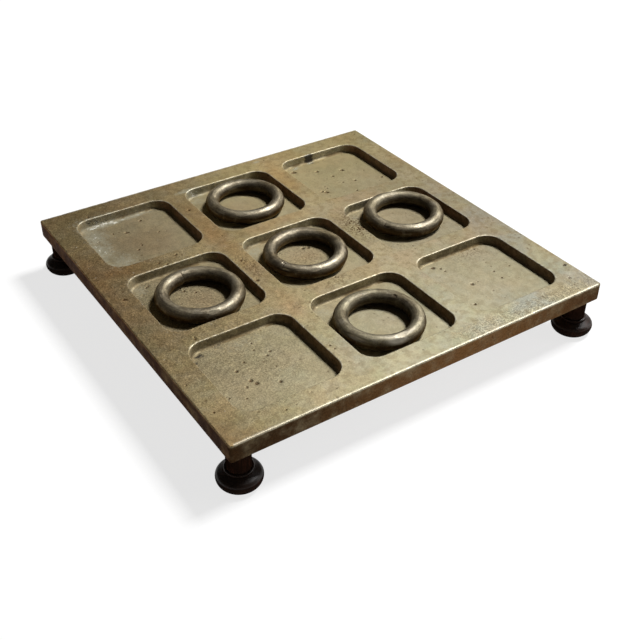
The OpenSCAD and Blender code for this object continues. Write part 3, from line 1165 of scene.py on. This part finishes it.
# %% Dab on local stains
# Millimetres and strength: x, y, radius along x, radius along y, strength
DABS = {
    "residue": (
        (-81, 77, 7, 10, 0.66), (-82, 62, 6, 10, 0.62), (-78, 47, 8, 8, 0.48),
        (-73, 85.6, 13, 2.6, 0.86), (-54, 85.2, 9, 1.8, 0.76), (-66, 84.6, 3, 1.6, 1.05),
        (-60.5, 85, 2.4, 1.3, 1.05), (-78.5, 84.8, 3, 1.4, 1.05), (-84.4, 62, 2, 26, 0.6),
        (-72, 37.6, 14, 1.6, 0.5), (-62, 40, 16, 4, 0.2), (-82, 20, 5, 6, 0.36), (-20, 20, 6, 5, 0.52),
        (-20, -42, 6, 5, 0.34), (42, -42, 5, 5, 0.26), (-20, 82, 6, 5, 0.34), (-62, -42, 14, 4, 0.24),
        (27, 95.5, 2, 1.2, 0.8), (-20.5, 86.5, 8, 2, 0.75), (92, -90, 6, 8, 0.2), (-86, -20, 4, 5, 0.2),
        (40, 20, 6, 5, 0.24), (57.5, 85.2, 3, 0.7, 0.95), (46, 84, 4, 2, 0.6),
        (-79.5, 86, 1.3, 0.8, 1.2), (-71, 86.1, 2, 0.7, 1.2), (-66.8, 85.8, 1.1, 0.9, 1.25),
        (-74.5, 85.9, 1, 0.6, 1.15), (-80.5, 40.5, 3, 1.8, 0.9), (-83.5, 45, 1.6, 3, 0.85),
    ),
    "scale": (
        (-77, 86.9, 5, 0.8, 0.28), (-66, 86.9, 4, 0.8, 0.22), (57.3, 86.9, 3, 0.9, 1),
        (58.8, 84.2, 1.8, 0.5, 0.9), (61.9, 83.8, 1.4, 0.4, 0.8), (-81, -39.8, 2.6, 1.6, 0.62),
        (-84.5, -43.5, 1.6, 2, 0.5), (-72, -37.5, 5, 1.2, 0.4), (4.3, 8.7, 2.6, 0.9, 0.34),
        (96.9, -79, 2, 1.4, 0.45), (-79, -2, 1.5, 1.2, 0.42),
    ),
    "warm": (
        (-30, 45, 8, 40, 0.9), (30, 70, 7, 22, 0.9), (-84, 33, 22, 8, 0.8), (-97, 30, 6, 40, 0.7),
        (-31, -35, 7, 20, 0.6), (-58, 58, 16, 15, 1), (0, 32, 34, 6, 0.6), (97, 55, 6, 20, 0.4),
        (100, -62, 5, 15, 0.6), (42, 34, 10, 8, 0.45), (-73, 87, 10, 0.5, 1), (-62, -5, 12, 12, 0.8),
        (0, 2, 12, 12, 0.9), (60, 2, 12, 12, 0.5), (0, 60, 12, 12, 0.6), (-97, -92, 8, 18, 0.6),
        (-31, 5, 6, 14, 0.6),
    ),
    "pepper": (
        (33, 6, 6, 12, 1.3), (39, 16, 6, 7, 1.3), (40, -18, 8, 6, 0.5), (0, -30, 12, 5, 0.5),
        (-31, 3, 5, 12, 0.7), (-62, 8, 14, 14, 0.4), (1, 2, 12, 12, 0.4), (60, 60, 20, 18, 0.15),
        (-75, 86.9, 9, 1, 1), (70, -40, 14, 6, 0.4), (-60, -60, 22, 18, 0.25),
    ),
}
DAB_REACH = 2.2
DAB_DEPTH = 1.2 * POCKET_DEPTH


def dab(bm, layer, dabs):
    top = [vert for vert in bm.verts if vert.co.z >= plate_top - DAB_DEPTH]
    for x, y, wide, deep, strength in dabs:
        for vert in top:
            aside = (vert.co.x - x * MM) / (wide * MM)
            along = (vert.co.y - y * MM) / (deep * MM)
            if abs(aside) < DAB_REACH and abs(along) < DAB_REACH:
                vert[layer] = max(vert[layer], strength * exp(-(aside ** 2 + along ** 2)))


for mark, dabs in DABS.items():
    dab(plate_mesh, plate_marks[mark], dabs)
    print("dabbed", len(dabs), "patches of", mark)

# %% [markdown]
# The bmesh becomes an object. It takes its finish, rides on the board and stands in for the
# frame's plate, which stays behind it for the physics. The underside stays flat-shaded, because
# its long thin faces would shade badly if their normals were smoothed.

# %% Finish the plate


def finish_piece(bm, name, material, body, replaced, flat=()):
    for face in bm.faces:
        face.smooth = True
    for face in flat:
        if face.is_valid:
            face.smooth = False
    mesh = bpy.data.meshes.new(name)
    bm.to_mesh(mesh)
    bm.free()
    mesh.materials.append(material)
    piece = bpy.data.objects.new(name, mesh)
    bpy.context.scene.collection.objects.link(piece)
    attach(piece, body)
    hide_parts(replaced)
    print(name, sum(len(polygon.vertices) - 2 for polygon in mesh.polygons), "triangles")


finish_piece(plate_mesh, "board_plate", CAST_BRASS, "board", "plate", under_faces)

# %% [markdown]
# The playing rings
#
# Each ring is a length of rod, bent round a former and closed end to end. A perfect torus would
# look like plastic. The rod's circle is spun round in fine steps near the joint and wide steps
# elsewhere, and then its points are moved. Each ring has its own list of what happened to it:
# where its joint is, where a hammer has flattened it, and where it has knocked its neighbours.

# %% What marks each ring
# Angles in degrees: turn is about the ring, lift is about the rod. Sizes in millimetres.
# joint: the turn of the joint. open: the lift where its groove shows, and how far to each side.
# step: how far the end past the joint stands out. oval: the turn of the ring's longest width.
# dull: how much of the olive skin is left. flats: turn, lift and depth of hammered places.
# nicks: turn, lift, length, width, depth, and shine from -1, full of dirt, to 1, rubbed bright.
# The last nick of each ring is a pale patch painted where the lamp's highlight falls, a painted
# highlight.
RING_MARKS = {
    "ring_centre": {
        "joint": -156, "open": (60, 22), "step": 0.10, "oval": 20, "dull": 0.15,
        "flats": ((-20, 70, 0.12), (-110, 48, 0.15)),
        "nicks": ((-151, 34, 2.2, 0.45, 0.3, 1), (-159, 84, 0.45, 0.4, 0.35, 1),
                  (-156, 88, 0.5, 0.4, 0.3, -1), (43, 70, 3.5, 1.6, 0.12, 0.6),
                  (-80, 74, 6, 1.2, 0.02, 0.15)),
    },
    "ring_front": {
        "joint": 24, "open": (125, 16), "step": 0.06, "oval": 75, "dull": 0.9,
        "flats": ((-94, 82, 0.26), (-104, 40, 0.2)),
        "nicks": ((-157, 36, 4, 0.9, 0.5, 1), (28, 119, 1, 0.7, 0.35, -1), (-104, 40, 4, 1.8, 0.05, 0.9),
                  (-98, 84, 9, 1.4, 0.03, 0.5)),
    },
    "ring_left": {
        "joint": 95, "open": (140, 44), "step": -0.50, "oval": -30, "dull": 0.3,
        "flats": ((-100, 52, 0.18), (20, 66, 0.12)),
        "nicks": ((66, 86, 4, 1.5, 0.14, 0.6), (-120, 60, 2, 0.6, 0.12, 0.3), (-72, 80, 6, 1.2, 0.03, 0.1)),
    },
    "ring_right": {
        "joint": -157, "open": (57, 18), "step": 0.08, "oval": 110, "dull": 0.5,
        "flats": ((-101, 66, 0.22), (-70, 50, 0.12)),
        "nicks": ((-152, 40, 1.6, 0.5, 0.2, -0.7), (80, 60, 2, 1, 0.12, 0.5), (-100, 72, 6, 1.3, 0.03, 0.2)),
    },
    "ring_back": {
        "joint": 150, "open": (100, 24), "step": 0.12, "oval": 0, "dull": 0.3,
        "flats": ((-80, 64, 0.12), (-125, 52, 0.18)),
        "nicks": ((-20, 50, 2, 0.6, 0.16, 0.5), (-160, 40, 2, 0.5, 0.16, 0.5), (-78, 72, 6, 1.3, 0.03, 0.3)),
    },
}
print("rings:", ", ".join(RING_MARKS))

# %% [markdown]
# Bending the rod. A circle stands upright beside the origin and is spun about Z, first through
# the short stretch of the joint and then through the rest. The last circle meets the first, so
# their doubles are merged, and the joint is turned to the angle 0.

# %% Bend the rod
ROD_SIDES = 88
WIDE_STEPS = 230
JOINT_STEPS = 40
JOINT_SPAN = radians(13)


def spin_rod(bm, geom, angle, steps):
    made = bmesh.ops.spin(bm, geom=geom, cent=(0, 0, 0), axis=(0, 0, 1), angle=angle, steps=steps)
    return made["geom_last"]


def bend_rod(name):
    """The plain ring, from the frame's own box, with its middle, the rod's radius and the bend's."""
    low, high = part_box(name)
    rod = (high.z - low.z) / 2
    bend = (high.x - low.x) / 2 - rod
    bm = bmesh.new()
    upright = Matrix.Translation((bend, 0, 0)) @ Matrix.Rotation(pi / 2, 4, "X")
    made = bmesh.ops.create_circle(bm, segments=ROD_SIDES, radius=rod, matrix=upright)
    profile = made["verts"] + list({edge for vert in made["verts"] for edge in vert.link_edges})
    past_joint = spin_rod(bm, profile, JOINT_SPAN, JOINT_STEPS)
    spin_rod(bm, past_joint, 2 * pi - JOINT_SPAN, WIDE_STEPS)
    bmesh.ops.remove_doubles(bm, verts=bm.verts, dist=0.001 * MM)
    bmesh.ops.rotate(bm, verts=bm.verts, cent=(0, 0, 0), matrix=Matrix.Rotation(-JOINT_SPAN / 2, 3, "Z"))
    return bm, (low + high) / 2, rod, bend


bent_rings = {name: bend_rod(name) for name in RING_MARKS}
for name, (_, _, rod, bend) in bent_rings.items():
    print(name, "rod", round(2000 * rod, 2), "mm, bent", round(2000 * bend, 2), "mm across")

# %% [markdown]
# The rod's ends meet in a groove. Filing has closed it over most of the rod, and it stays open
# over the rest. A hammered flat takes off what stands above a plane, and the rod's own curves
# say how fast that fades. A nick is a short bowl with ragged walls.
#
# Each helper answers for one point, given its turn about the ring and its lift about the rod.
# Lift is 0 on the outward side, a quarter turn on top, and half a turn inside, at the hole.

# %% Groove, flats and nicks
GROOVE_WIDTH = 0.22 * MM
NICK_RAGGED = 0.0008


def turn_gap(first, second):
    """The signed angle from second to first, between half a turn back and half a turn on."""
    return (first - second + pi) % (2 * pi) - pi


def open_joint(lift, number, marks):
    """How open the joint's groove is at this lift, from 0 to about 1."""
    middle, half = (radians(angle) for angle in marks["open"])
    ragged = 0.6 + 0.5 * noise.noise(Vector((lift * 2.0, number, 0.5)))
    return ragged * (0.1 + 0.9 * exp(-(turn_gap(lift, middle) / half) ** 4))


def flat_depth(turn, lift, rod, bend, flats):
    total = 0.0
    for flat_turn, flat_lift, depth in flats:
        along = turn_gap(turn, radians(flat_turn)) * (bend + rod * cos(lift))
        across = turn_gap(lift, radians(flat_lift)) * rod
        total += max(0.0, depth * MM - along ** 2 / (2 * (bend + rod)) - across ** 2 / (2 * rod))
    return total


def nick_marks(turn, lift, rod, bend, point, nicks):
    """How deep the nicks are here, how bright their rubbed places and painted highlights are, and how much
    dirt they hold.
    """
    ragged = 0.7 + 0.6 * noise.noise(point / NICK_RAGGED)
    cut = shine = dirt = 0.0
    for nick_turn, nick_lift, length, width, depth, polish in nicks:
        along = turn_gap(turn, radians(nick_turn)) * bend / (length * MM)
        across = turn_gap(lift, radians(nick_lift)) * rod / (width * MM)
        hit = exp(-(along ** 2 + across ** 2) ** 2)
        cut += depth * MM * hit * ragged
        shine = max(shine, polish * hit)
        dirt = max(dirt, -polish * hit)
    return cut, shine, dirt


# %% [markdown]
# The skin of the rod is uneven at two sizes, and bending has left a shallow crease that wanders
# round the upper outward side. Near the joint one end stands out, and is drawn a little
# thinner, so that the ring stays inside its true size.

# %% Skin of the rod
WAVER_SIZE = 0.008
SKIN_SIZE = 0.0025
SKIN_SINK = 0.11 * MM
WAVER_DEPTH = 0.10 * MM
SKIN_DEPTH = 0.05 * MM
CREASE_DEPTH = 0.09 * MM
CREASE_WIDTH = 0.14
GROOVE_DEPTH = 0.22 * MM
STEP_LENGTH = 5 * MM
OVAL = 0.12 * MM


def skin_depth(turn, lift, point, waver, number):
    skin = noise.noise(point / SKIN_SIZE + Vector((0, number * 2.3, 0)))
    crease = turn_gap(lift, radians(20 + 9 * sin(2 * turn + number)))
    crease_depth = CREASE_DEPTH * exp(-(crease / CREASE_WIDTH) ** 2) * (0.5 + noise.noise(point / 0.006))
    return SKIN_SINK + WAVER_DEPTH * waver + SKIN_DEPTH * skin + crease_depth


def joint_step(gap, groove, step):
    """How far the rod's end stands out or in at this gap from the joint, and how thin it is drawn."""
    out = step * copysign(1.0, gap) * exp(-abs(gap) / STEP_LENGTH) * (1 - groove)
    thin = 0.5 * abs(step) * exp(-abs(gap) / (STEP_LENGTH / 2)) if gap * step > 0 else 0.0
    return out, thin


# %% [markdown]
# Fingers pick a ring up from above. They have worn its brown skin off on top, less underneath
# and inside, and not on the outward side. That dark brown below and outward is partly a painted
# shade. `tarnish` makes the left, right and back of each ring browner and darker than its front,
# as a painted reflection and shade, and `inside` darkens the face round the hole as a painted
# shade, most where it looks away from the light.

# %% Marks for the bronze finish


def as_share(value):
    return min(1.0, max(0.0, value))


def finish_marks(turn, lift, waver, dull):
    # Painted shade round the hole, deepest where the inner face looks away from the light
    inside = as_share(0.15 - 1.3 * cos(lift)) * (0.7 + 0.3 * cos(turn + radians(50)))
    # Pale where fingers wear the top, dark brown lower down and outward, partly a painted shade
    reached = 1.1 * max(0.0, sin(lift)) + 0.7 * max(0.0, -sin(lift)) + 0.45 * max(0.0, -cos(lift))
    # Painted reflection and shade: browner and darker at the left, right and back of a ring
    brown = (0.8 * cos(turn) ** 2 + 0.35 * max(0.0, sin(turn))) * (0.9 + waver)
    tarnish = as_share(brown * (1.0 - 0.7 * dull))
    wear_and_shade = as_share(-0.2 + reached + 0.5 * waver)
    return {"inside": inside, "wear_and_shade": wear_and_shade, "tarnish": tarnish, "dull": dull}


print("marks on top of a ring:", finish_marks(0.0, pi / 2, 0.0, 0.0))

# %% [markdown]
# Now the points are moved, one by one. `out` points from the ring's axis to the middle of the
# rod there, and `spoke` from that middle to the point. A shorter spoke makes the rod thinner, and a
# longer way out makes the ring oval or lifts a rod end past the other.

# %% Age the rings
RING_LAYERS = ("seam", "rubbed", "inside", "wear_and_shade", "tarnish", "dull", "rod_lift")
# A streak is this much finer round the rod than it is long
STREAK_DRAW = 0.15


def age_ring(bm, rod, bend, marks, number):
    layers = {name: bm.verts.layers.float.new(name) for name in RING_LAYERS}
    rod_place = bm.verts.layers.float_vector.new("rod_place")
    joint = radians(marks["joint"])
    bmesh.ops.rotate(bm, verts=bm.verts, cent=(0, 0, 0), matrix=Matrix.Rotation(joint, 3, "Z"))
    for vert in bm.verts:
        turn = atan2(vert.co.y, vert.co.x)
        out = Vector((cos(turn), sin(turn), 0))
        spoke = vert.co - out * bend
        lift = atan2(spoke.z, spoke.dot(out))
        waver = noise.noise(vert.co / WAVER_SIZE + Vector((number * 3.1, 0, 0)))
        gap = turn_gap(turn, joint) * bend
        groove = exp(-(gap / GROOVE_WIDTH) ** 2)
        gape = groove * open_joint(lift, number, marks)
        step, thin = joint_step(gap, groove, marks["step"] * MM)
        cut, shine, dirt = nick_marks(turn, lift, rod, bend, vert.co, marks["nicks"])
        shrink = skin_depth(turn, lift, vert.co, waver, number) + GROOVE_DEPTH * gape
        shrink += cut + flat_depth(turn, lift, rod, bend, marks["flats"]) + thin
        oval = OVAL * cos(2 * (turn - radians(marks["oval"])))
        vert.co = out * (bend + oval + 0.5 * step) + spoke * ((rod - shrink) / rod)
        values = finish_marks(turn, lift, waver, marks["dull"])
        values.update(seam=min(1.0, 1.2 * gape + dirt), rubbed=shine, rod_lift=rod * sin(lift))
        for name, value in values.items():
            vert[layers[name]] = value
        around = STREAK_DRAW * bend
        vert[rod_place] = Vector((around * cos(turn), around * sin(turn), rod * cos(lift) + number))


for number, (name, marks) in enumerate(RING_MARKS.items()):
    ring_mesh, middle, rod, bend = bent_rings[name]
    age_ring(ring_mesh, rod, bend, marks, number)
    bmesh.ops.translate(ring_mesh, verts=ring_mesh.verts, vec=middle)
    bmesh.ops.recalc_face_normals(ring_mesh, faces=ring_mesh.faces)
    finish_piece(ring_mesh, "bent_" + name, DARK_BRONZE, name, name)

# %% [markdown]
# Feet, screws and washers
#
# The frame's own meshes already have the turned profile, the slots and the holes, so they stay
# and only get their finish.

# %% Finish the feet, the screws and the washers


def dress(name, material):
    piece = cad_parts[name]
    piece.data.materials.clear()
    piece.data.materials.append(material)


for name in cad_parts:
    if name in foot_names:
        dress(name, EBONISED_WOOD)
    elif name.startswith("foot_"):
        dress(name, TURNED_BRASS)
print("dressed", len(foot_names), "feet and their fasteners")

# %% [markdown]
# The floor
#
# The board stands on a plain white floor that keeps its soft shadow. To look white without
# more light on the board, the floor glows, but only for the rays that come from the camera, a
# mirror or glass. Every other ray meets a matt pale floor. The glow grows with the distance from
# the board, so the shadow under it stays readable.

# %% Floor
FLOOR_SIZE = 6
FLOOR_PALE = (0.8, 0.8, 0.8, 1)
FLOOR_UNDER_GLOW = (0.26, 0.26, 0.26, 1)


def ray(tree, kind):
    """1 where the light path that asks is of this kind, and 0 elsewhere."""
    return Value(add(tree, "LightPath").outputs["Is " + kind + " Ray"])


def mirrored(tree):
    """1 where a mirror or glass asks, and 0 elsewhere."""
    return most(ray(tree, "Glossy"), ray(tree, "Transmission"))


def make_floor_material():
    material, tree, shader = start_material("white floor")
    seen = most(ray(tree, "Camera"), mirrored(tree))
    wire(blend(seen, FLOOR_PALE, FLOOR_UNDER_GLOW), shader.inputs["Base Color"])
    shader.inputs["Roughness"].default_value = 0.9
    shader.inputs["Specular IOR Level"].default_value = 0.0
    shader.inputs["Emission Color"].default_value = (1, 1, 1, 1)
    away = add(tree, "VectorMath", {0: own_place(tree)}, operation="LENGTH").outputs["Value"]
    glow = spread(Value(away), 0.3, 1.5, 0.75, 1.0)
    wire(seen * glow, shader.inputs["Emission Strength"])
    return material


def make_floor():
    bm = bmesh.new()
    bmesh.ops.create_grid(bm, x_segments=1, y_segments=1, size=FLOOR_SIZE)
    mesh = bpy.data.meshes.new("floor")
    bm.to_mesh(mesh)
    bm.free()
    mesh.materials.append(make_floor_material())
    floor = bpy.data.objects.new("floor", mesh)
    bpy.context.scene.collection.objects.link(floor)


make_floor()
print("floor", 2 * FLOOR_SIZE, "m a side")

# %% [markdown]
# The lamps
#
# The main light is a window high on the right. It is small enough to leave readable shadows in
# the pockets, and large enough to soften their edges. A second window, low on the right and a
# little to the front, is weak and wide. It gives the rods and rims a broad soft highlight.

# %% Lamps
# Name, direction, distance and size in metres, power in watts
WINDOWS = (
    ("window", (0.55, 0.05, 0.833), 2.0, 0.46, 54.0),
    ("low window", (0.84, -0.35, 0.46), 1.8, 0.8, 4.5),
)


def make_window(name, direction, distance, size, power):
    """A square lamp that faces the board from a direction."""
    data = bpy.data.lights.new(name, "AREA")
    data.size = size
    data.energy = power
    lamp = bpy.data.objects.new(name, data)
    bpy.context.scene.collection.objects.link(lamp)
    toward = Vector(direction).normalized()
    lamp.location = toward * distance
    lamp.rotation_mode = "QUATERNION"
    lamp.rotation_quaternion = toward.to_track_quat("Z", "Y")


for window in WINDOWS:
    make_window(*window)
print("lamps:", [window[0] for window in WINDOWS])

# %% [markdown]
# The room
#
# A dim, warm world fills the shadows, as the walls of a room do. The camera sees a white backdrop
# in its place. Metal and glass mirror that backdrop too, but only its lowest part, because above
# it they should find the room.

# %% World
ROOM_WARM = (1, 0.86, 0.7, 1)
BACKDROP_WHITE = (1, 1, 1, 1)
ROOM_LEVEL = 0.036


def make_world():
    world = bpy.data.worlds.new("studio")
    bpy.context.scene.world = world
    world.use_nodes = True
    tree = world.node_tree
    rise = split(Value(add(tree, "TexCoord").outputs["Generated"]))[2]
    low = mirrored(tree) * spread(rise, 0.05, 0.14, 1.0, 0.0)
    backdrop = most(ray(tree, "Camera"), low)
    background = tree.nodes["Background"]
    wire(blend(backdrop, ROOM_WARM, BACKDROP_WHITE), background.inputs["Color"])
    wire(spread(backdrop, 0.0, 1.0, ROOM_LEVEL, 1.0), background.inputs["Strength"])


make_world()
bpy.context.scene.view_settings.view_transform = "Standard"
print("world:", bpy.context.scene.world.name)
